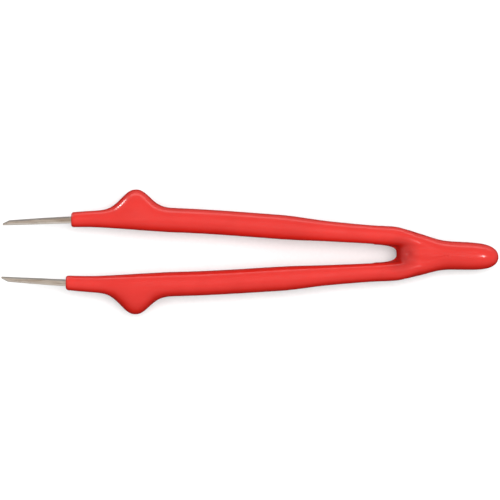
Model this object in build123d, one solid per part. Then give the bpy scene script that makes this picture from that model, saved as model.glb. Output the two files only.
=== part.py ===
"""Insulated precision tweezers: two welded spring strips under one dipped skin, with a finger guard on each arm.

The tweezers lie on their side. X runs along them from the tips (-X) to the tail (+X), the arms open along Y,
and Z is up. The origin is under the middle of the bounding box, on the surface they lie on. All sizes are in mm.
"""

from build123d import *
from math import cos, exp, pi, sin
import os

# Overall sizes
overall_length = 150.0
grip_depth = 11.0
guard_height = 5.8
tip_gap = 15.4

# Places along the arm, measured back from the tips
upper_bare_length = 21.0
lower_bare_length = 19.5
upper_tip_setback = 0.3
bare_end = 20.0
neck_end = 28.5
guard_peak = 40.3
guard_reach = 5.6
guard_flatness = 2.25
grip_front = 52.6

# Places measured forward from the end of the tail
grip_back = 66.0
flex_front = 51.5
flex_back = 37.0
crotch_end = 30.8
joggle_start = 31.0
joggle_middle = 22.5
joggle_end = 13.0
strip_end_cover = 4.0

# Height of each strip's middle above the plane between the arms
bare_end_rise = 1.08
bow_height = 9.85
grip_front_height = 9.62
grip_back_height = 7.81
flex_front_height = 6.62
flex_back_height = 5.64
joggle_start_height = 5.25
joggle_middle_height = 3.0

# Strips
tip_thickness = 1.45
tip_edge_thickness = 0.45
tip_bevel_length = 2.1
jaw_length = 12.0
bare_end_thickness = 2.0
grip_strip_thickness = 2.0
flex_strip_thickness = 1.0
heel_strip_thickness = 1.2
tip_half_width = 0.45
bare_end_half_width = 1.7
guard_strip_half_width = 3.0
grip_strip_half_width = 3.6
heel_strip_half_width = 2.8
end_strip_half_width = 2.3

# Insulation: half thickness across the strip
front_half_thickness = 2.2
neck_half_thickness = 2.5
grip_half_thickness = 3.66
flex_front_half_thickness = 3.05
flex_half_thickness = 2.85
heel_half_thickness = 2.9
joggle_half_thickness = 2.55
section_roundness = 2.3
front_edge_radius = 0.7

# Insulation: half depth along Z, as shares of the depth of the grip
front_half_depth = 0.273 * grip_depth
neck_half_depth = 0.309 * grip_depth
guard_half_depth = 0.473 * grip_depth
grip_half_depth = 0.5 * grip_depth
flex_half_depth = 0.382 * grip_depth
joggle_end_half_depth = 0.3 * grip_depth
waist_half_depth = 0.355 * grip_depth
tail_half_depth = 0.364 * grip_depth
web_half_depth = 0.145 * grip_depth

# Tail and web of the insulation
waist_from_end = 21.0
waist_half_height = 4.8
tail_half_height = 4.28
tail_end_half_height = 4.1
tail_round_length = 15.0
tail_roundness = 4.3
last_tail_section = 0.93
tail_round_sections = 6
tail_drop = 0.8
crotch_half_height = 2.95
crotch_round_length = 5.2
web_front_from_end = 34.8
tail_start_from_end = 28.0

# Guard cores and weld nuggets
guard_skin = 2.0
core_half_length = 7.0
core_half_depth = 2.5
nugget_diameter = 3.0
nugget_thickness = 1.2
nugget_spacing = 4.5
nugget_end_distance = 6.5
nugget_count = 2

# Flexure
pivot_from_end = 39.4
flexure_radius = 4.0
flexure_clearance = 0.15

# Spacing of the sections and points that the curved surfaces pass through
section_points = 16
section_step = 3.0
strip_step = 5.0

# Worked out from the sizes above
tip_x = -overall_length / 2
tail_x = overall_length / 2
middle_z = grip_depth / 2
pivot_x = tail_x - pivot_from_end
tip_height = (tip_gap + tip_thickness) / 2
far = 2 * overall_length


def curve_through(points):
    """A smooth height along X through (x, height) points, which never overshoots them."""
    xs = [p[0] for p in points]
    ys = [p[1] for p in points]
    steps = [(ys[i + 1] - ys[i]) / (xs[i + 1] - xs[i]) for i in range(len(xs) - 1)]
    slopes = [steps[0]]
    for before, after in zip(steps, steps[1:]):
        slopes.append(2 * before * after / (before + after) if before * after > 0 else 0.0)
    slopes.append(steps[-1])

    def height(x):
        if x <= xs[0]:
            return ys[0] + slopes[0] * (x - xs[0])
        if x >= xs[-1]:
            return ys[-1]
        i = max(k for k in range(len(xs) - 1) if xs[k] <= x)
        run = xs[i + 1] - xs[i]
        t = (x - xs[i]) / run
        return (
            ys[i] * (1 + 2 * t) * (1 - t) ** 2
            + ys[i + 1] * t * t * (3 - 2 * t)
            + run * t * (1 - t) * (slopes[i] * (1 - t) - slopes[i + 1] * t)
        )

    return height


strip_middle = curve_through([
    (tip_x, tip_height),
    (tip_x + bare_end, tip_height + bare_end_rise),
    (tip_x + neck_end, bow_height),
    (tip_x + guard_peak, bow_height),
    (tip_x + grip_front, grip_front_height),
    (tail_x - grip_back, grip_back_height),
    (tail_x - flex_front, flex_front_height),
    (tail_x - flex_back, flex_back_height),
    (tail_x - joggle_start, joggle_start_height),
    (tail_x - joggle_middle, joggle_middle_height),
    (tail_x - joggle_end, heel_strip_thickness / 2),
    (tail_x, heel_strip_thickness / 2),
])

strip_thickness = curve_through([
    (tip_x, tip_thickness),
    (tip_x + bare_end, bare_end_thickness),
    (tip_x + grip_front, grip_strip_thickness),
    (tail_x - grip_back, grip_strip_thickness),
    (tail_x - flex_front, flex_strip_thickness),
    (tail_x - flex_back, flex_strip_thickness),
    (tail_x - joggle_start, heel_strip_thickness),
    (tail_x, heel_strip_thickness),
])

strip_half_width = curve_through([
    (tip_x, tip_half_width),
    (tip_x + bare_end, bare_end_half_width),
    (tip_x + guard_peak, guard_strip_half_width),
    (tip_x + grip_front, grip_strip_half_width),
    (tail_x - grip_back, grip_strip_half_width),
    (tail_x - flex_front, heel_strip_half_width),
    (tail_x - joggle_end, heel_strip_half_width),
    (tail_x - strip_end_cover, end_strip_half_width),
])

coat_half_thickness = curve_through([
    (tip_x + bare_end, front_half_thickness),
    (tip_x + neck_end, neck_half_thickness),
    (tip_x + grip_front, grip_half_thickness),
    (tail_x - grip_back, grip_half_thickness),
    (tail_x - flex_front, flex_front_half_thickness),
    (tail_x - flex_back, flex_half_thickness),
    (tail_x - joggle_start, heel_half_thickness),
    (tail_x - joggle_middle, joggle_half_thickness),
    (tail_x, joggle_half_thickness),
])

coat_half_depth = curve_through([
    (tip_x + bare_end, front_half_depth),
    (tip_x + neck_end, neck_half_depth),
    (tip_x + guard_peak, guard_half_depth),
    (tip_x + grip_front, grip_half_depth),
    (tail_x - grip_back, grip_half_depth),
    (tail_x - flex_back, flex_half_depth),
    (tail_x - joggle_start, flex_half_depth),
    (tail_x - joggle_end, joggle_end_half_depth),
    (tail_x, joggle_end_half_depth),
])


def guard_rise(x, height, reach):
    """A bell-shaped hump with a slightly flattened top, over the guard's middle."""
    return height * exp(-((abs(x - tip_x - guard_peak) / reach) ** guard_flatness))


def drop(x):
    """How far the tail of the skin sags towards -Y."""
    return tail_drop * max(0.0, x - (tail_x - joggle_start)) / joggle_start


def evenly(start, end, step):
    """Places from start to end, both included, no more than a step apart."""
    count = max(2, round(abs(end - start) / step))
    return [start + (end - start) * i / count for i in range(count + 1)]


def oval(x, middle, below, above, half_depth):
    """A closed section across X: rounder than a box, with its own height either side of its widest line."""
    points = []
    for i in range(section_points):
        turn = 2 * pi * i / section_points
        c = cos(turn)
        s = sin(turn)
        reach = (above if c > 0 else below) * abs(c) ** (2 / section_roundness)
        side = half_depth * abs(s) ** (2 / section_roundness)
        y = middle + (reach if c > 0 else -reach)
        z = middle_z + (side if s > 0 else -side)
        points.append((x, y, z))
    return Wire([Edge.make_spline([Vector(*p) for p in points], periodic=True)])


def arm_section(x, side, inset):
    """One section of an arm's insulation, guard included, drawn in all round by an inset."""
    half = coat_half_thickness(x) - inset
    guarded = half + guard_rise(x, guard_height, guard_reach)
    below, above = (half, guarded) if side > 0 else (guarded, half)
    return oval(x, side * strip_middle(x) - drop(x), below, above, coat_half_depth(x) - inset)


def arm_skin(side, start, end):
    """The outer shape of one arm's insulation between two places along X, with its front edge rounded."""
    radius = front_edge_radius
    front = []
    for turn in (0, pi / 6, pi / 3, pi / 2):
        front.append(arm_section(start + radius * (1 - cos(turn)), side, radius * (1 - sin(turn))))
    body = [arm_section(x, side, 0) for x in evenly(start + radius, end, section_step)]
    return Solid.make_loft(front) + Solid.make_loft(body)


def web():
    """The web that closes the crotch between the arms, with its front rounded like a U."""
    crotch_x = tail_x - crotch_end
    front = tail_x - web_front_from_end
    back = tail_x - waist_from_end
    top = [(x, strip_middle(x)) for x in evenly(front, back, section_step)]
    bottom = [(x, -y) for x, y in reversed(top)]
    sheet = plate(
        Curve() + [Spline(top), Line(top[-1], bottom[0]), Spline(bottom), Line(bottom[-1], top[0])],
        web_half_depth,
    )
    throat = Ellipse(crotch_round_length, crotch_half_height)
    return sheet - extrude(Pos(crotch_x - crotch_round_length, 0, middle_z) * throat, grip_depth, both=True)


def tail_skin():
    """The outer shape of the tail, from inside the web to its rounded end."""
    start_x = tail_x - tail_start_from_end
    waist_x = tail_x - waist_from_end
    round_x = tail_x - tail_round_length
    half_height = curve_through([
        (start_x, strip_middle(start_x)),
        (waist_x, waist_half_height),
        (round_x, tail_half_height),
        (tail_x, tail_end_half_height),
    ])
    half_depth = curve_through([
        (start_x, web_half_depth),
        (waist_x, waist_half_depth),
        (round_x, tail_half_depth),
        (tail_x, tail_half_depth),
    ])
    places = evenly(start_x, round_x, section_step)
    for t in evenly(0, last_tail_section, last_tail_section / tail_round_sections)[1:]:
        places.append(tail_x - tail_round_length * (1 - t) ** 2)
    sections = []
    for x in places:
        t = max(0.0, (x - round_x) / tail_round_length)
        close = (1 - t**tail_roundness) ** (1 / section_roundness)
        height = half_height(x) * close
        sections.append(oval(x, -drop(x), height, height, half_depth(x) * close))
    sections.append(Vertex(tail_x, -drop(tail_x), middle_z))
    return Solid.make_loft(sections)


def plate(outline, half_depth):
    """A closed XY outline given depth either side of the middle plane."""
    face = Pos(0, 0, middle_z) * make_face(outline)
    return extrude(face, half_depth, both=True)


def strip(tip_setback):
    """One whole spring strip, from its bevelled tip to its tail end, as cut from sheet and bent."""
    tip = tip_x + tip_setback
    end = tail_x - strip_end_cover
    jaw_end = tip_x + jaw_length
    bevel_end = tip + tip_bevel_length

    def inner(x):
        return strip_middle(x) - strip_thickness(x) / 2

    def outer(x):
        return strip_middle(x) + strip_thickness(x) / 2

    jaw_slope = (inner(jaw_end) - inner(tip_x)) / (jaw_end - tip_x)
    jaw_start_height = inner(tip_x) + jaw_slope * tip_setback
    flat_start = tail_x - joggle_end
    back_slope = (outer(jaw_end) - outer(bevel_end)) / (jaw_end - bevel_end)
    bent = evenly(jaw_end, flat_start, strip_step)
    inner_bend = Spline([(x, inner(x)) for x in bent], tangents=[(1, jaw_slope), (1, 0)])
    outer_bend = Spline([(x, outer(x)) for x in reversed(bent)], tangents=[(-1, 0), (-1, -back_slope)])
    side = plate(
        Curve()
        + [
            Line((tip, jaw_start_height), (jaw_end, inner(jaw_end))),
            inner_bend,
            Line((flat_start, 0), (end, 0)),
            Line((end, 0), (end, heel_strip_thickness)),
            Line((end, heel_strip_thickness), (flat_start, heel_strip_thickness)),
            outer_bend,
            Line((jaw_end, outer(jaw_end)), (bevel_end, outer(bevel_end))),
            Line((bevel_end, outer(bevel_end)), (tip, jaw_start_height + tip_edge_thickness)),
            Line((tip, jaw_start_height + tip_edge_thickness), (tip, jaw_start_height)),
        ],
        grip_depth,
    )
    places = evenly(tip, end, strip_step)
    near = [(x, middle_z - strip_half_width(x)) for x in places]
    far_side = [(x, middle_z + strip_half_width(x)) for x in reversed(places)]
    blank = Curve() + [
        Spline(near),
        Line(near[-1], far_side[0]),
        Spline(far_side),
        Line(far_side[-1], near[0]),
    ]
    blank_face = Plane.XZ * make_face(blank)
    return side & extrude(blank_face, far, both=True)


def guard_core(blade):
    """The moulded hump under the skin, seated on the outer face of the strip."""
    peak_x = tip_x + guard_peak
    height = guard_height + coat_half_thickness(peak_x) - guard_skin - strip_thickness(peak_x) / 2
    crest = []
    for x in evenly(peak_x - core_half_length, peak_x + core_half_length, section_step):
        rise = guard_rise(x, height, guard_reach - guard_skin / 2)
        crest.append((x, strip_middle(x) + strip_thickness(x) / 2 + rise))
    front = (crest[0][0], strip_middle(peak_x))
    back = (crest[-1][0], strip_middle(peak_x))
    outline = Curve() + [Spline(crest), Line(crest[-1], back), Line(back, front), Line(front, crest[0])]
    return plate(outline, core_half_depth) - blade


def ahead_of_flexure(side, clearance):
    """Everything on the tip side of one arm's flexure, out to an arc about its axis."""
    front = Pos(pivot_x - far / 2, side * far / 2, middle_z) * Box(far, far, far)
    pivot = Pos(pivot_x, side * strip_middle(pivot_x), middle_z)
    return front + pivot * Cylinder(flexure_radius + clearance, far)


def nuggets():
    """The spot welds between the two strips, in a row along the tail."""
    nugget = Rot(90, 0, 0) * Cylinder(nugget_diameter / 2, nugget_thickness)
    back = tail_x - nugget_end_distance
    return [Pos(back - nugget_spacing * i, 0, middle_z) * nugget for i in range(nugget_count)]


def on_side(side, solid):
    """A solid made for the upper arm, moved to its own arm."""
    return solid if side > 0 else mirror(solid, Plane.XZ)


def write(name, shape):
    """Writes one named node."""
    shape.label = name
    export_step(shape, "parts/" + name + ".step")


def build_arm(name, side, tip_setback, bare_length):
    """Writes the moving pieces of one arm, and returns its share of the heel: strip and skin."""
    whole = strip(tip_setback)
    core = on_side(side, guard_core(whole))
    whole = on_side(side, whole)
    skin = arm_skin(side, tip_x + bare_length, tail_x - joggle_end)
    moving = ahead_of_flexure(side, 0)
    fixed = ahead_of_flexure(side, flexure_clearance)
    write(name + "_blade", whole & moving)
    write(name + "_guard_core", core)
    write(name + "_coat", (skin & moving) - whole - core)
    return whole - fixed, skin - fixed


def main():
    os.makedirs("parts", exist_ok=True)
    welds = nuggets()
    heel_skin = tail_skin() + web()
    heel_blades = {}
    for name, side, tip_setback, bare_length in (
        ("upper", 1, upper_tip_setback, upper_bare_length),
        ("lower", -1, 0.0, lower_bare_length),
    ):
        heel_blade, skin = build_arm(name, side, tip_setback, bare_length)
        for weld in welds:
            heel_blade = heel_blade - weld
        heel_blades[name] = heel_blade
        heel_skin = heel_skin + skin
    for name, heel_blade in heel_blades.items():
        write(name + "_blade_heel", heel_blade)
        heel_skin = heel_skin - heel_blade
    for weld in welds:
        heel_skin = heel_skin - weld
    write("heel_coat", heel_skin)
    write("weld_nuggets", Compound(children=welds))


main()
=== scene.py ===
"""Looks of the insulated tweezers: one glossy dipped skin over ground steel strips, on a pale floor.

Shapes are worked out in millimetres, close to the sizes of the CAD model, and become metres in each mesh.
"""

import math

import bmesh
import bpy
import numpy as np
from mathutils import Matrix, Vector


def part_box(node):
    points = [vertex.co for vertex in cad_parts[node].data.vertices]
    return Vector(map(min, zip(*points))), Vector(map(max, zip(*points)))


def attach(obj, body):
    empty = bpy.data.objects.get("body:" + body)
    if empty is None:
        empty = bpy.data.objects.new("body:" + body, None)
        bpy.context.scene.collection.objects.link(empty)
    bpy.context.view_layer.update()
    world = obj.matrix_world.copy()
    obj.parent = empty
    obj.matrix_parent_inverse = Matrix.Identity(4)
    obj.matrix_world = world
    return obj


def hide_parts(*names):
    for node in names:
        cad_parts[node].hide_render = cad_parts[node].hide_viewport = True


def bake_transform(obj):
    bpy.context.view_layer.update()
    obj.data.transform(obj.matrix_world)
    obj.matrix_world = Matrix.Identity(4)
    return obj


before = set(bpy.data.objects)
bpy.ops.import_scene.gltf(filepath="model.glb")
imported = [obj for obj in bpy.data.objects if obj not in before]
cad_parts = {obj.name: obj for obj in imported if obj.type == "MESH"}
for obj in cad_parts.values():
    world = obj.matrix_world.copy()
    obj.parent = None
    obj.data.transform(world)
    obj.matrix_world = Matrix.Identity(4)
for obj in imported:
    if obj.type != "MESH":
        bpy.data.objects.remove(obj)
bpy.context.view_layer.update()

MM = 0.001

# Overall sizes, in mm
tip_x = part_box("lower_blade")[0].x / MM
tail_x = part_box("heel_coat")[1].x / MM
middle_z = (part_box("upper_blade")[0].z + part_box("upper_blade")[1].z) / 2 / MM
upper_tip_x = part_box("upper_blade")[0].x / MM
upper_coat_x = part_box("upper_coat")[0].x / MM
lower_coat_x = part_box("lower_coat")[0].x / MM
guard_height = 5.8
tip_gap = 15.4

# Places along the arm: from the tips, then from the end of the tail
bare_end, neck_end, guard_peak, grip_front = 20.0, 28.5, 40.3, 52.6
guard_reach, guard_flatness = 5.6, 2.25
grip_back, flex_front, flex_back = 66.0, 51.5, 37.0
joggle_start, joggle_middle, joggle_end = 31.0, 22.5, 13.0
pivot_from_end = 39.4

# Strips: height of the middle line above the middle plane
bare_end_rise, guard_middle = 1.08, 9.85
grip_front_middle, grip_back_middle = 9.62, 7.81
flex_front_middle, flex_back_middle = 6.62, 5.64
joggle_start_middle, joggle_half_way = 5.25, 3.0

# Skin: half thickness across the strip and half depth along Z
front_half_thickness, neck_half_thickness, grip_half_thickness = 2.2, 2.5, 3.66
flex_front_half_thickness, flex_half_thickness = 3.05, 2.78
heel_half_thickness, joggle_half_thickness, joggle_end_half_thickness = 2.9, 2.35, 1.1
front_half_depth, neck_half_depth, guard_half_depth = 3.0, 3.4, 5.2
grip_half_depth, flex_half_depth, joggle_half_depth, joggle_end_half_depth = 5.5, 4.2, 3.6, 1.6
section_roundness = 2.1
front_edge_radius = 0.75
arm_end_rounding = 2.0

# Curves along X: how softly they turn, and how finely and how far past their ends they are worked out
profile_spread, web_spread = 1.3, 0.4
curve_step, curve_margin = 0.1, 2

# Web, dimple and tail of the skin
web_edge_half_depth, web_slope_half_depth, web_shoulder_half_depth = 0.3, 2.5, 3.4
web_middle_half_depth, web_back_half_depth = 3.7, 2.4
web_slope_from_end, web_shoulder_from_end, web_middle_from_end = 29.3, 27.2, 24.0
crotch_from_end, crotch_half_height, crotch_length = 30.9, 3.15, 5.4
web_front_from_end = 37.0
web_rounding, web_side_rounding, web_inset, web_join_radius = 0.8, 0.5, 2.4, 1.2
dimple_from_end, dimple_radius, dimple_depth = 27.2, 0.9, 0.5
merge_from_end, merge_half_height = 24.0, 5.55
waist_from_end, tail_start_from_end = 20.1, 28.0
waist_half_height, tail_half_height, tail_end_half_height = 4.9, 4.28, 4.1
waist_half_depth, tail_half_depth, tail_round_length, tail_roundness = 3.9, 4.0, 15.0, 5.0
tail_drop = 0.8
join_radius = 2.2

# Painted shade: the dip's colour is darkened around the crotch, where the skin lies in shade
crotch_shade_from_end, crotch_shade_drop, crotch_shade_core_radius, crotch_shade_radius = 29.6, 0.3, 1.8, 6.0
painted_crotch_shade = (0.62, 0.52, 0.52)

# Skin mesh
cell = 0.32
grid_margin, grid_half_width, grid_half_depth = 2.2 * cell, 19.5, 6.4
most_corners = 8
seam_from_end = 35.0

# Strips
tip_thickness, bare_end_thickness, grip_strip_thickness = 1.45, 2.0, 2.0
flex_strip_thickness, heel_strip_thickness = 1.0, 1.2
tip_edge_thickness, tip_bevel_length = 0.6, 2.0
tip_half_width, bare_end_half_width, guard_strip_half_width = 0.45, 1.7, 3.0
tip_width_share = 0.55
grip_strip_half_width, heel_strip_half_width = 3.6, 2.8
chamfer_share, chamfer_depth, deepest_chamfer_share, edge_radius = 0.27, 0.20, 0.4, 0.05
chamfer_lean = 0.2
tip_rings = (0, 0.1, 0.3, 0.6, 0.9, 1.2, 1.5, 1.8, 2.1, 2.5, 3.0)
first_even_ring, ring_spacing = 4.0, 1.0


def curve_through(points, spread=profile_spread):
    """A height along X through (x, height) points, which never overshoots them.

    It is worked out every step of X, and softened over a short spread.
    """
    xs = np.array([p[0] for p in points])
    ys = np.array([p[1] for p in points])
    steps = np.diff(ys) / np.diff(xs)
    slopes = [steps[0]]
    for before, after in zip(steps, steps[1:]):
        slopes.append(2 * before * after / (before + after) if before * after > 0 else 0.0)
    slopes = np.array(slopes + [0.0])
    reach = 4 * spread
    fine = np.arange(xs[0] - reach - curve_margin, xs[-1] + reach + curve_margin, curve_step)
    i = np.clip(np.searchsorted(xs, fine, side="right") - 1, 0, len(xs) - 2)
    run = xs[i + 1] - xs[i]
    t = np.clip((fine - xs[i]) / run, 0, 1)
    heights = (
        ys[i] * (1 + 2 * t) * (1 - t) ** 2
        + ys[i + 1] * t * t * (3 - 2 * t)
        + run * t * (1 - t) * (slopes[i] * (1 - t) - slopes[i + 1] * t)
    )
    heights += slopes[0] * np.minimum(fine - xs[0], 0)
    offsets = np.arange(-reach, reach + curve_step / 2, curve_step)
    weights = np.exp(-0.5 * (offsets / spread) ** 2)
    weights /= weights.sum()
    heights = np.convolve(np.pad(heights, len(offsets) // 2, mode="edge"), weights, "valid")
    return lambda x: np.interp(x, fine, heights)


tip_height = (tip_gap + tip_thickness) / 2
strip_middle = curve_through([
    (tip_x, tip_height),
    (tip_x + bare_end, tip_height + bare_end_rise),
    (tip_x + neck_end, guard_middle),
    (tip_x + guard_peak, guard_middle),
    (tip_x + grip_front, grip_front_middle),
    (tail_x - grip_back, grip_back_middle),
    (tail_x - flex_front, flex_front_middle),
    (tail_x - flex_back, flex_back_middle),
    (tail_x - joggle_start, joggle_start_middle),
    (tail_x - joggle_middle, joggle_half_way),
    (tail_x - joggle_end, heel_strip_thickness / 2),
    (tail_x, heel_strip_thickness / 2),
])
strip_thickness = curve_through([
    (tip_x, tip_thickness),
    (tip_x + bare_end, bare_end_thickness),
    (tip_x + grip_front, grip_strip_thickness),
    (tail_x - grip_back, grip_strip_thickness),
    (tail_x - flex_front, flex_strip_thickness),
    (tail_x - flex_back, flex_strip_thickness),
    (tail_x - joggle_start, heel_strip_thickness),
    (tail_x, heel_strip_thickness),
])
strip_half_width = curve_through([
    (tip_x, tip_half_width),
    (tip_x + bare_end, bare_end_half_width),
    (tip_x + guard_peak, guard_strip_half_width),
    (tip_x + grip_front, grip_strip_half_width),
    (tail_x - grip_back, grip_strip_half_width),
    (tail_x - flex_front, heel_strip_half_width),
    (tail_x, heel_strip_half_width),
])
coat_half_thickness = curve_through([
    (tip_x + bare_end, front_half_thickness),
    (tip_x + neck_end, neck_half_thickness),
    (tip_x + grip_front, grip_half_thickness),
    (tail_x - grip_back, grip_half_thickness),
    (tail_x - flex_front, flex_front_half_thickness),
    (tail_x - flex_back, flex_half_thickness),
    (tail_x - joggle_start, heel_half_thickness),
    (tail_x - joggle_middle, joggle_half_thickness),
    (tail_x - joggle_end, joggle_end_half_thickness),
])
coat_half_depth = curve_through([
    (tip_x + bare_end, front_half_depth),
    (tip_x + neck_end, neck_half_depth),
    (tip_x + guard_peak, guard_half_depth),
    (tip_x + grip_front, grip_half_depth),
    (tail_x - grip_back, grip_half_depth),
    (tail_x - flex_back, flex_half_depth),
    (tail_x - joggle_start, flex_half_depth),
    (tail_x - joggle_middle, joggle_half_depth),
    (tail_x - joggle_end, joggle_end_half_depth),
])
web_depth = curve_through([
    (tail_x - crotch_from_end, web_edge_half_depth),
    (tail_x - web_slope_from_end, web_slope_half_depth),
    (tail_x - web_shoulder_from_end, web_shoulder_half_depth),
    (tail_x - web_middle_from_end, web_middle_half_depth),
    (tail_x - joggle_end, web_back_half_depth),
], web_spread)
tail_height = curve_through([
    (tail_x - tail_start_from_end, merge_half_height),
    (tail_x - merge_from_end, merge_half_height),
    (tail_x - waist_from_end, waist_half_height),
    (tail_x - tail_round_length, tail_half_height),
    (tail_x, tail_end_half_height),
])
tail_depth = curve_through([
    (tail_x - tail_start_from_end, web_edge_half_depth),
    (tail_x - waist_from_end, waist_half_depth),
    (tail_x - tail_round_length, tail_half_depth),
    (tail_x, tail_half_depth),
])


# Shape of the skin: each field is below zero inside, and about a distance in mm near its surface


def smooth_min(a, b, radius):
    """The nearer of two fields, with their crease filled to about a radius."""
    share = np.maximum(radius - np.abs(a - b), 0) / radius
    return np.minimum(a, b) - share * share * radius / 4


def smooth_max(a, b, radius):
    """The farther of two fields, with their edge rounded off to about a radius."""
    return -smooth_min(-a, -b, radius)


def section_field(u, v, half_height, half_depth):
    """A section about its middle: oval where it is high enough, else flat-sided with round ends."""
    end = np.minimum(half_height, half_depth)
    v = np.maximum(np.abs(v) - (half_depth - end), 0)
    r = (np.abs(u) / half_height) ** section_roundness + (v / end) ** section_roundness
    r = np.maximum(r, 1e-4) ** (1 / section_roundness)
    return np.maximum(np.hypot(u, v), 1e-3) * (1 - 1 / r)


def guard_rise(x):
    """The guard's hump: a bell with a slightly flattened top."""
    return guard_height * np.exp(-((np.abs(x - tip_x - guard_peak) / guard_reach) ** guard_flatness))


def arm_field(x, y, z, front_x):
    """One arm's skin, with the square-cut, round-edged front end of the dip."""
    half = coat_half_thickness(x)
    u = y - strip_middle(x)
    height = np.where(u > 0, half + guard_rise(x), half)
    side = section_field(u, z, height, coat_half_depth(x)) + front_edge_radius
    end = front_x - x + front_edge_radius
    corner = np.hypot(np.maximum(side, 0), np.maximum(end, 0))
    front = np.minimum(np.maximum(side, end), 0) + corner - front_edge_radius
    return smooth_max(front, x - tail_x + joggle_end, arm_end_rounding)


def web_field(x, y, z):
    """The web that closes the crotch: thin at its edge, oval between the arms, sunk into the tail."""
    reach = strip_middle(x) + coat_half_thickness(x) - web_inset
    bulge = np.sqrt(np.clip(1 - (y / reach) ** 2, 0, 1))
    sheet = np.abs(z) - np.maximum(web_depth(x), web_edge_half_depth) * bulge
    centre_x = tail_x - crotch_from_end - crotch_length
    along = np.maximum(x - centre_x, 0) / crotch_length
    across = np.abs(y) / crotch_half_height
    e = np.maximum(np.hypot(along, across), 1e-6)
    steepness = np.hypot(along / crotch_length, across / crotch_half_height) / e
    throat = (1 - e) / np.maximum(steepness, 1e-3)
    bounds = np.maximum(np.abs(y) - reach, tail_x - web_front_from_end - x)
    bounds = np.maximum(bounds, x - tail_x + joggle_end)
    return smooth_max(smooth_max(sheet, throat, web_rounding), bounds, web_side_rounding)


def tail_field(x, y, z):
    """The tail's oval, closed by its rounded end."""
    t = np.maximum(x - tail_x + tail_round_length, 0) / tail_round_length
    height = tail_height(x)
    depth = np.maximum(tail_depth(x), web_edge_half_depth)
    total = (
        (np.abs(y) / height) ** section_roundness
        + (np.abs(z) / depth) ** section_roundness
        + t**tail_roundness
    )
    r = np.maximum(total, 1e-6) ** (1 / section_roundness)
    body = tail_half_depth * (r - 1)
    return np.maximum(body, tail_x - tail_start_from_end - x)


def skin_field(points):
    """The whole dipped skin, for points in mm."""
    x = points[:, 0]
    sag = tail_drop * np.maximum(0, x - tail_x + joggle_start) / joggle_start
    y = points[:, 1] + sag
    z = points[:, 2] - middle_z
    upper = arm_field(x, y, z, upper_coat_x)
    lower = arm_field(x, -y, z, lower_coat_x)
    arms = smooth_min(upper, lower, join_radius)
    webbed = smooth_min(arms, web_field(x, y, z), web_join_radius)
    skin = smooth_min(webbed, tail_field(x, y, z), join_radius)
    pit = ((x - tail_x + dimple_from_end) ** 2 + y * y) / dimple_radius**2
    return skin + dimple_depth * np.exp(-pit)


def skin_gradient(points, step=0.04):
    """The field's slope along each axis."""
    slope = np.empty_like(points)
    for axis in range(3):
        move = np.zeros(3)
        move[axis] = step
        slope[:, axis] = (skin_field(points + move) - skin_field(points - move)) / (2 * step)
    return slope


def settle(points, rounds=4):
    """Moves points onto the skin's surface."""
    for _ in range(rounds):
        slope = skin_gradient(points)
        size = np.maximum((slope**2).sum(1), 1e-3)
        move = skin_field(points) / size
        points = points - np.clip(move, -cell, cell)[:, None] * slope
    return points


def skin_surface():
    """The skin's surface as points and quads, by surface nets: one point in each cell it passes through."""
    low = np.array([lower_coat_x - grid_margin, -grid_half_width, middle_z - grid_half_depth])
    high = np.array([tail_x + grid_margin, grid_half_width, middle_z + grid_half_depth])
    shape = np.ceil((high - low) / cell).astype(int) + 1
    lines = [low[axis] + cell * np.arange(shape[axis]) for axis in range(3)]
    grid = np.stack(np.meshgrid(*lines, indexing="ij"), -1)
    inside = (skin_field(grid.reshape(-1, 3)) < 0).reshape(shape)
    nx, ny, nz = shape - 1
    corners = sum(
        inside[i : nx + i, j : ny + j, k : nz + k].astype(int)
        for i in (0, 1)
        for j in (0, 1)
        for k in (0, 1)
    )
    crossed = (corners > 0) & (corners < 8)
    number = np.full(crossed.shape, -1)
    number[crossed] = np.arange(crossed.sum())
    points = low + cell * (np.argwhere(crossed) + 0.5)
    quads = []
    for axis in range(3):
        b, c = (axis + 1) % 3, (axis + 2) % 3
        first = np.moveaxis(inside, (axis, b, c), (0, 1, 2))
        cells = np.moveaxis(number, (axis, b, c), (0, 1, 2))
        here, ahead = first[:-1, 1:-1, 1:-1], first[1:, 1:-1, 1:-1]
        around = [cells[:, :-1, :-1], cells[:, 1:, :-1], cells[:, 1:, 1:], cells[:, :-1, 1:]]
        leaving, entering = here & ~ahead, ~here & ahead
        quads.append(np.stack([a[leaving] for a in around], 1))
        quads.append(np.stack([a[entering] for a in reversed(around)], 1))
    quads = np.concatenate(quads)
    points = settle(points, 5)
    for _ in range(3):
        total = np.zeros_like(points)
        count = np.zeros(len(points))
        for shift in (1, -1):
            np.add.at(total, quads.reshape(-1), points[np.roll(quads, shift, axis=1).reshape(-1)])
            np.add.at(count, quads.reshape(-1), 1)
        points = settle(points + 0.5 * (total / count[:, None] - points), 2)
    return points, quads


def mesh_object(name, points, faces):
    """A new object from points in mm."""
    mesh = bpy.data.meshes.new(name)
    mesh.from_pydata((np.asarray(points) * MM).tolist(), [], [list(map(int, f)) for f in faces])
    mesh.validate()
    made = bpy.data.objects.new(name, mesh)
    bpy.context.scene.collection.objects.link(made)
    return made


def cut_off(made, place, normal):
    """Cuts away the side that the normal points to, and closes the cut."""
    bm = bmesh.new()
    bm.from_mesh(made.data)
    parts = bm.verts[:] + bm.edges[:] + bm.faces[:]
    bmesh.ops.bisect_plane(bm, geom=parts, plane_co=place, plane_no=normal, clear_outer=True, dist=1e-7)
    edges = [e for e in bm.edges if e.is_boundary]
    bmesh.ops.holes_fill(bm, edges=edges, sides=0)
    bm.to_mesh(made.data)
    bm.free()


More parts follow.
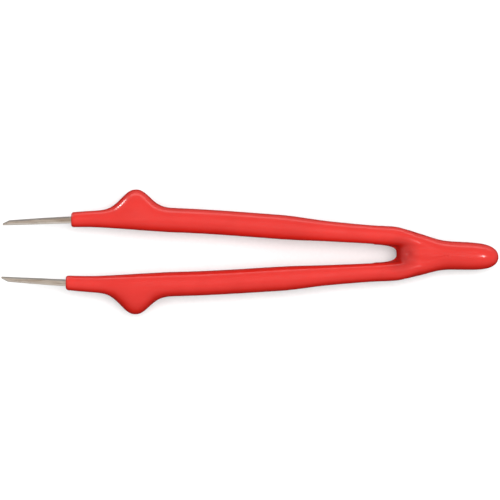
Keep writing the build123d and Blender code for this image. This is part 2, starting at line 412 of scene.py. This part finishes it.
def shade_like_the_field(made):
    """Gives each corner the skin's own normal, and each closed cut, with its many corners, a flat one."""
    mesh = made.data
    points = np.array([v.co for v in mesh.vertices]) / MM
    slope = skin_gradient(points)
    slope /= np.linalg.norm(slope, axis=1)[:, None]
    normals = [None] * len(mesh.loops)
    for face in mesh.polygons:
        face.use_smooth = True
        for loop in face.loop_indices:
            flat = len(face.vertices) > most_corners
            normals[loop] = face.normal if flat else slope[mesh.loops[loop].vertex_index]
    mesh.normals_split_custom_set(normals)


def make_skin():
    """The dipped skin as three closed pieces, which meet where the arms start to bend."""
    points, quads = skin_surface()
    seam = Vector(((tail_x - seam_from_end) * MM, 0, 0))
    centre = Vector((0, 0, 0))
    pieces = {}
    for name, cuts in {
        "heel_insulation": [(seam, Vector((-1, 0, 0)))],
        "upper_insulation": [(seam, Vector((1, 0, 0))), (centre, Vector((0, -1, 0)))],
        "lower_insulation": [(seam, Vector((1, 0, 0))), (centre, Vector((0, 1, 0)))],
    }.items():
        made = mesh_object(name, points, quads)
        for place, normal in cuts:
            cut_off(made, place, normal)
        shade_like_the_field(made)
        pieces[name] = made
    return pieces


# Strips


def strip_section(x, tip):
    """The corners of a strip's section at one place, as (y, z) pairs: a bar with four ground chamfers."""
    inner = strip_middle(x) - strip_thickness(x) / 2
    ground = np.clip((x - tip) / tip_bevel_length, 0, 1)
    thick = tip_edge_thickness + (strip_thickness(x) - tip_edge_thickness) * ground
    width = strip_half_width(x) * (tip_width_share + (1 - tip_width_share) * ground)
    across = chamfer_share * thick
    down = min(chamfer_depth, deepest_chamfer_share * width)
    outline = [
        (thick, width - down),
        (thick - across, width),
        (across, width),
        (0, width - down),
        (0, down - width),
        (across, -width),
        (thick - across, -width),
        (thick, down - width),
    ]
    section = []
    for i, corner in enumerate(outline):
        for other in (outline[i - 1], outline[(i + 1) % 8]):
            towards = Vector(other) - Vector(corner)
            near = Vector(corner) + towards.normalized() * min(edge_radius, towards.length / 4)
            section.append((inner + near.x, near.y))
    return section


def make_strip(name, tip, side):
    """One arm's spring strip, from its ground tip to where it bends.

    Its flat faces take the first material, its chamfers towards +Y the second and the others the third; the
    second and third are darker and lighter copies of the steel, as painted shade and painted light.
    """
    even = np.arange(tip + first_even_ring, tail_x - pivot_from_end, ring_spacing)
    places = np.concatenate([tip + np.array(tip_rings), even])
    rings = []
    for x in places:
        rings.append([(x, side * y, middle_z + z) for y, z in strip_section(x, tip)])
    around = len(rings[0])
    faces = [tuple(reversed(range(around)))]
    for i in range(len(rings) - 1):
        for j in range(around):
            a, b = i * around + j, i * around + (j + 1) % around
            faces.append((a, b, b + around, a + around))
    faces.append(tuple(range((len(rings) - 1) * around, len(rings) * around)))
    made = mesh_object(name, [p for ring in rings for p in ring], faces)
    bm = bmesh.new()
    bm.from_mesh(made.data)
    bmesh.ops.recalc_face_normals(bm, faces=bm.faces[:])
    bm.to_mesh(made.data)
    bm.free()
    # Chamfers facing +Y and −Y get their own slots, for the painted-shade and painted-light copies of the
    # steel
    for face in made.data.polygons:
        lean = face.normal.y
        chamfer = abs(face.normal.z) > chamfer_lean and abs(lean) > chamfer_lean
        face.material_index = (1 if lean > 0 else 2) if chamfer else 0
    return made


# Materials


class Nodes:
    """A short way to write a node tree."""

    def __init__(self, name):
        self.material = bpy.data.materials.new(name)
        self.material.use_nodes = True
        self.tree = self.material.node_tree
        self.shader = self.tree.nodes["Principled BSDF"]
        self.place = self.add("ShaderNodeTexCoord").outputs["Object"]

    def add(self, kind, **values):
        node = self.tree.nodes.new(kind)
        for key, value in values.items():
            setattr(node, key, value)
        return node

    def link(self, a, b):
        self.tree.links.new(a, b)

    def stretched(self, scale):
        """Object coordinates scaled by three numbers."""
        node = self.add("ShaderNodeMapping")
        node.inputs["Scale"].default_value = scale
        self.link(self.place, node.inputs["Vector"])
        return node.outputs["Vector"]

    def noise(self, scale, detail=2.0, roughness=0.5, place=None):
        node = self.add("ShaderNodeTexNoise")
        node.inputs["Scale"].default_value = scale
        node.inputs["Detail"].default_value = detail
        node.inputs["Roughness"].default_value = roughness
        self.link(place or self.place, node.inputs["Vector"])
        return node.outputs["Fac"]

    def between(self, value, low, high, new_low, new_high):
        """The value's range from low to high, spread over a new range."""
        node = self.add("ShaderNodeMapRange")
        for i, number in enumerate((low, high, new_low, new_high), start=1):
            node.inputs[i].default_value = number
        self.link(value, node.inputs[0])
        return node.outputs[0]

    def colours(self, value, stops):
        """A colour ramp."""
        node = self.add("ShaderNodeValToRGB")
        ramp = node.color_ramp
        while len(ramp.elements) < len(stops):
            ramp.elements.new(0.5)
        for element, (position, colour) in zip(ramp.elements, stops):
            element.position = position
            element.color = (*colour, 1)
        self.link(value, node.inputs["Fac"])
        return node.outputs["Color"]

    def mixed(self, factor, a, b, blend="MIX"):
        """Two colours mixed by a factor, which is a socket or a number."""
        node = self.add("ShaderNodeMix", data_type="RGBA", blend_type=blend)
        for socket, value in ((node.inputs[0], factor), (node.inputs[6], a), (node.inputs[7], b)):
            if isinstance(value, bpy.types.NodeSocket):
                self.link(value, socket)
            else:
                socket.default_value = value if isinstance(value, float) else (*value, 1)
        return node.outputs[2]

    def bumps(self, layers):
        """Bump layers, each a height, a strength and a depth in mm."""
        normal = None
        for height, strength, depth in layers:
            node = self.add("ShaderNodeBump")
            node.inputs["Strength"].default_value = strength
            node.inputs["Distance"].default_value = depth * MM
            self.link(height, node.inputs["Height"])
            if normal is not None:
                self.link(normal, node.inputs["Normal"])
            normal = node.outputs["Normal"]
        self.link(normal, self.shader.inputs["Normal"])


def insulation_material():
    """Glossy red dip: slow flow waves, faint orange peel, dust pits, a slightly cloudy colour and painted
    shade darkening it around the crotch.
    """
    n = Nodes("red_dip")
    cloud = n.noise(90, 3, 0.55)
    streak = n.noise(1, 3, 0.5, n.stretched((60, 500, 500)))
    base = n.colours(cloud, [(0.3, (0.69, 0.017, 0.010)), (0.7, (0.76, 0.022, 0.014))])
    base = n.mixed(n.between(streak, 0.35, 0.75, 0.0, 0.25), base, (0.80, 0.030, 0.020))
    # Painted shade: the base colour is multiplied darker within a radius of the crotch
    from_crotch_shade = n.add("ShaderNodeVectorMath", operation="DISTANCE")
    from_crotch_shade.inputs[1].default_value = ((tail_x - crotch_shade_from_end) * MM, -crotch_shade_drop * MM, 0)
    n.link(n.stretched((1, 1, 0)), from_crotch_shade.inputs[0])
    distance = from_crotch_shade.outputs["Value"]
    painted_crotch_shade_mask = n.between(distance, crotch_shade_core_radius * MM, crotch_shade_radius * MM, 1.0, 0.0)
    base = n.mixed(painted_crotch_shade_mask, base, painted_crotch_shade, "MULTIPLY")
    n.link(base, n.shader.inputs["Base Color"])
    n.link(n.between(n.noise(260, 4, 0.6), 0.3, 0.7, 0.17, 0.27), n.shader.inputs["Roughness"])
    n.shader.inputs["IOR"].default_value = 1.5
    n.shader.inputs["Subsurface Weight"].default_value = 0.15
    n.shader.inputs["Subsurface Radius"].default_value = (0.0012, 0.0002, 0.00015)
    n.shader.inputs["Subsurface Scale"].default_value = 1.0
    peel = n.noise(1400, 2, 0.5)
    wave = n.noise(1, 2, 0.4, n.stretched((40, 190, 190)))
    pits = n.add("ShaderNodeTexVoronoi", feature="F1")
    pits.inputs["Scale"].default_value = 420
    n.link(n.place, pits.inputs["Vector"])
    dots = n.between(pits.outputs["Distance"], 0.02, 0.09, 0.0, 1.0)
    n.bumps([(wave, 0.11, 0.2), (peel, 0.05, 0.02), (dots, 0.04, 0.02)])
    return n.material


def steel_material(name, dark, light, tint):
    """Ground stainless: fine lines along the strip, warm heat tint and slightly cloudy gloss."""
    n = Nodes(name)
    along = n.stretched((120, 2600, 2600))
    lines = n.noise(1, 4, 0.6, along)
    cloud = n.noise(240, 3, 0.5)
    base = n.colours(lines, [(0.30, dark), (0.70, light)])
    base = n.mixed(n.between(cloud, 0.4, 0.8, 0.0, 0.5), base, tint)
    streak = n.noise(1, 2, 0.5, n.stretched((40, 1000, 1000)))
    base = n.mixed(n.between(streak, 0.44, 0.62, 0.0, 0.8), base, tint)
    n.link(base, n.shader.inputs["Base Color"])
    n.shader.inputs["Metallic"].default_value = 1.0
    n.link(n.between(lines, 0.3, 0.7, 0.24, 0.40), n.shader.inputs["Roughness"])
    n.bumps([(lines, 0.30, 0.02), (n.noise(900, 2, 0.5), 0.10, 0.02)])
    return n.material


def core_material():
    """Dull moulded core of the guard, with a faint spark-eroded grain."""
    n = Nodes("moulded_core")
    grain = n.noise(1800, 3, 0.6)
    base = n.colours(grain, [(0.3, (0.24, 0.04, 0.035)), (0.7, (0.30, 0.05, 0.04))])
    n.link(base, n.shader.inputs["Base Color"])
    n.link(n.between(grain, 0.3, 0.7, 0.5, 0.65), n.shader.inputs["Roughness"])
    n.bumps([(grain, 0.25, 0.03)])
    return n.material


def weld_material():
    """Spot-weld metal: grey, slightly blued and rippled."""
    n = Nodes("weld_metal")
    ripple = n.noise(700, 3, 0.6)
    base = n.colours(ripple, [(0.3, (0.36, 0.36, 0.40)), (0.7, (0.52, 0.50, 0.47))])
    n.link(base, n.shader.inputs["Base Color"])
    n.shader.inputs["Metallic"].default_value = 1.0
    n.link(n.between(ripple, 0.3, 0.7, 0.35, 0.55), n.shader.inputs["Roughness"])
    n.bumps([(ripple, 0.35, 0.04)])
    return n.material


def floor_material():
    """Pale matt paper."""
    n = Nodes("pale_paper")
    fibre = n.noise(900, 3, 0.6)
    base = n.colours(fibre, [(0.3, (0.90, 0.90, 0.90)), (0.7, (0.93, 0.93, 0.93))])
    n.link(base, n.shader.inputs["Base Color"])
    n.shader.inputs["Roughness"].default_value = 0.9
    return n.material


def paint(made, *materials):
    """Gives an object its materials."""
    for material in materials:
        made.data.materials.append(material)


# Studio


def make_floor():
    """A pale floor that the tweezers lie on, kept out of their reflections and their bounced light."""
    half = 1500
    corners = [(-half, -half, 0), (half, -half, 0), (half, half, 0), (-half, half, 0)]
    made = mesh_object("floor", corners, [(0, 1, 2, 3)])
    paint(made, floor_material())
    made.visible_glossy = False
    made.visible_diffuse = False
    return made


def area_light(name, place, size, power, target=(0, 0, 0.005)):
    """A soft rectangular light that faces a target."""
    data = bpy.data.lights.new(name, "AREA")
    data.shape = "RECTANGLE"
    data.size, data.size_y = size
    data.energy = power
    made = bpy.data.objects.new(name, data)
    made.location = place
    made.rotation_euler = (Vector(target) - Vector(place)).to_track_quat("-Z", "Y").to_euler()
    bpy.context.scene.collection.objects.link(made)
    return made


def make_world():
    """A white tent: bright above and behind the upper arm, dim in front of the lower one and below."""
    world = bpy.data.worlds.new("tent")
    world.use_nodes = True
    tree = world.node_tree
    place = tree.nodes.new("ShaderNodeTexCoord")
    height = tree.nodes.new("ShaderNodeVectorMath")
    height.operation = "DOT_PRODUCT"
    height.inputs[1].default_value = (0.25, 0.42, 0.87)
    spread = tree.nodes.new("ShaderNodeMapRange")
    for i, number in enumerate((-0.5, 0.35, 0.03, 0.75), start=1):
        spread.inputs[i].default_value = number
    tree.links.new(place.outputs["Generated"], height.inputs[0])
    tree.links.new(height.outputs["Value"], spread.inputs[0])
    tree.links.new(spread.outputs[0], tree.nodes["Background"].inputs["Strength"])
    tree.nodes["Background"].inputs["Color"].default_value = (1, 1, 1, 1)
    bpy.context.scene.world = world


def make_lights(skin_pieces):
    """A large soft key from near the camera, and three lamps that only show as glints on the skin."""
    key = area_light("key", (0.08, 0.14, 0.90), (0.7, 0.7), 4.8)
    key.visible_glossy = False
    glossy_pieces = bpy.data.collections.new("glossy_pieces")
    for piece in skin_pieces:
        glossy_pieces.objects.link(piece)
    for name, place, size, power in (
        ("guard_lamp", (-0.50, 0.46, 0.06), (0.10, 0.06), 1.6),
        ("tail_lamp", (0.38, 0.04, 0.82), (0.05, 0.05), 1.2),
        ("rear_band", (0.10, 0.90, 0.12), (1.4, 0.28), 2.2),
    ):
        lamp = area_light(name, place, size, power)
        lamp.visible_diffuse = False
        lamp.light_linking.receiver_collection = glossy_pieces


def make_floor_wash(floor):
    """A wide lamp for the floor alone, which lifts the soft shadows on it almost to white."""
    wash = area_light("floor_wash", (0, 0, 1.5), (3, 3), 20)
    floor_only = bpy.data.collections.new("floor_only")
    floor_only.objects.link(floor)
    wash.light_linking.receiver_collection = floor_only
    wash.light_linking.blocker_collection = floor_only


def make_camera():
    """A long lens looking straight down, a fraction of a degree off square."""
    view_width = 150.94 * MM
    distance = 1.2
    data = bpy.data.cameras.new("camera")
    data.sensor_width = 36
    data.lens = data.sensor_width * (distance - middle_z * MM) / view_width
    data.clip_end = 10
    made = bpy.data.objects.new("camera", data)
    made.location = (-0.00001, 0.00081, distance)
    made.rotation_euler = (0, 0, math.radians(0.40))
    bpy.context.scene.collection.objects.link(made)
    bpy.context.scene.camera = made


make_camera()
floor = make_floor()
make_world()
bpy.context.scene.view_settings.view_transform = "Standard"

red = insulation_material()
steel = steel_material("ground_steel", (0.56, 0.47, 0.39), (0.78, 0.67, 0.57), (0.44, 0.33, 0.25))
# Painted shade and painted light: darker and lighter copies of the ground steel, for the chamfers that face
# +Y and −Y
steel_painted_shade = steel_material("steel_painted_shade", (0.36, 0.33, 0.30), (0.50, 0.46, 0.42), (0.34, 0.30, 0.27))
steel_painted_light = steel_material("steel_painted_light", (0.80, 0.72, 0.64), (0.95, 0.87, 0.78), (0.76, 0.65, 0.55))
skin = make_skin()
for side in ("upper", "lower"):
    piece = skin[side + "_insulation"]
    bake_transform(piece)
    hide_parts(side + "_coat")
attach(skin["heel_insulation"], "heel")
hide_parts("heel_coat")
for piece in skin.values():
    paint(piece, red)
make_lights(skin.values())
make_floor_wash(floor)

for side, tip, sign in (("upper", upper_tip_x, 1), ("lower", tip_x, -1)):
    piece = make_strip(side + "_strip", tip, sign)
    paint(piece, steel, steel_painted_shade, steel_painted_light)
    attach(piece, side + "_arm")
    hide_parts(side + "_blade")

for node, material in {
    "upper_blade_heel": steel,
    "lower_blade_heel": steel,
    "upper_guard_core": core_material(),
    "lower_guard_core": core_material(),
    "weld_nuggets": weld_material(),
}.items():
    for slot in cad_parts[node].material_slots:
        slot.material = material
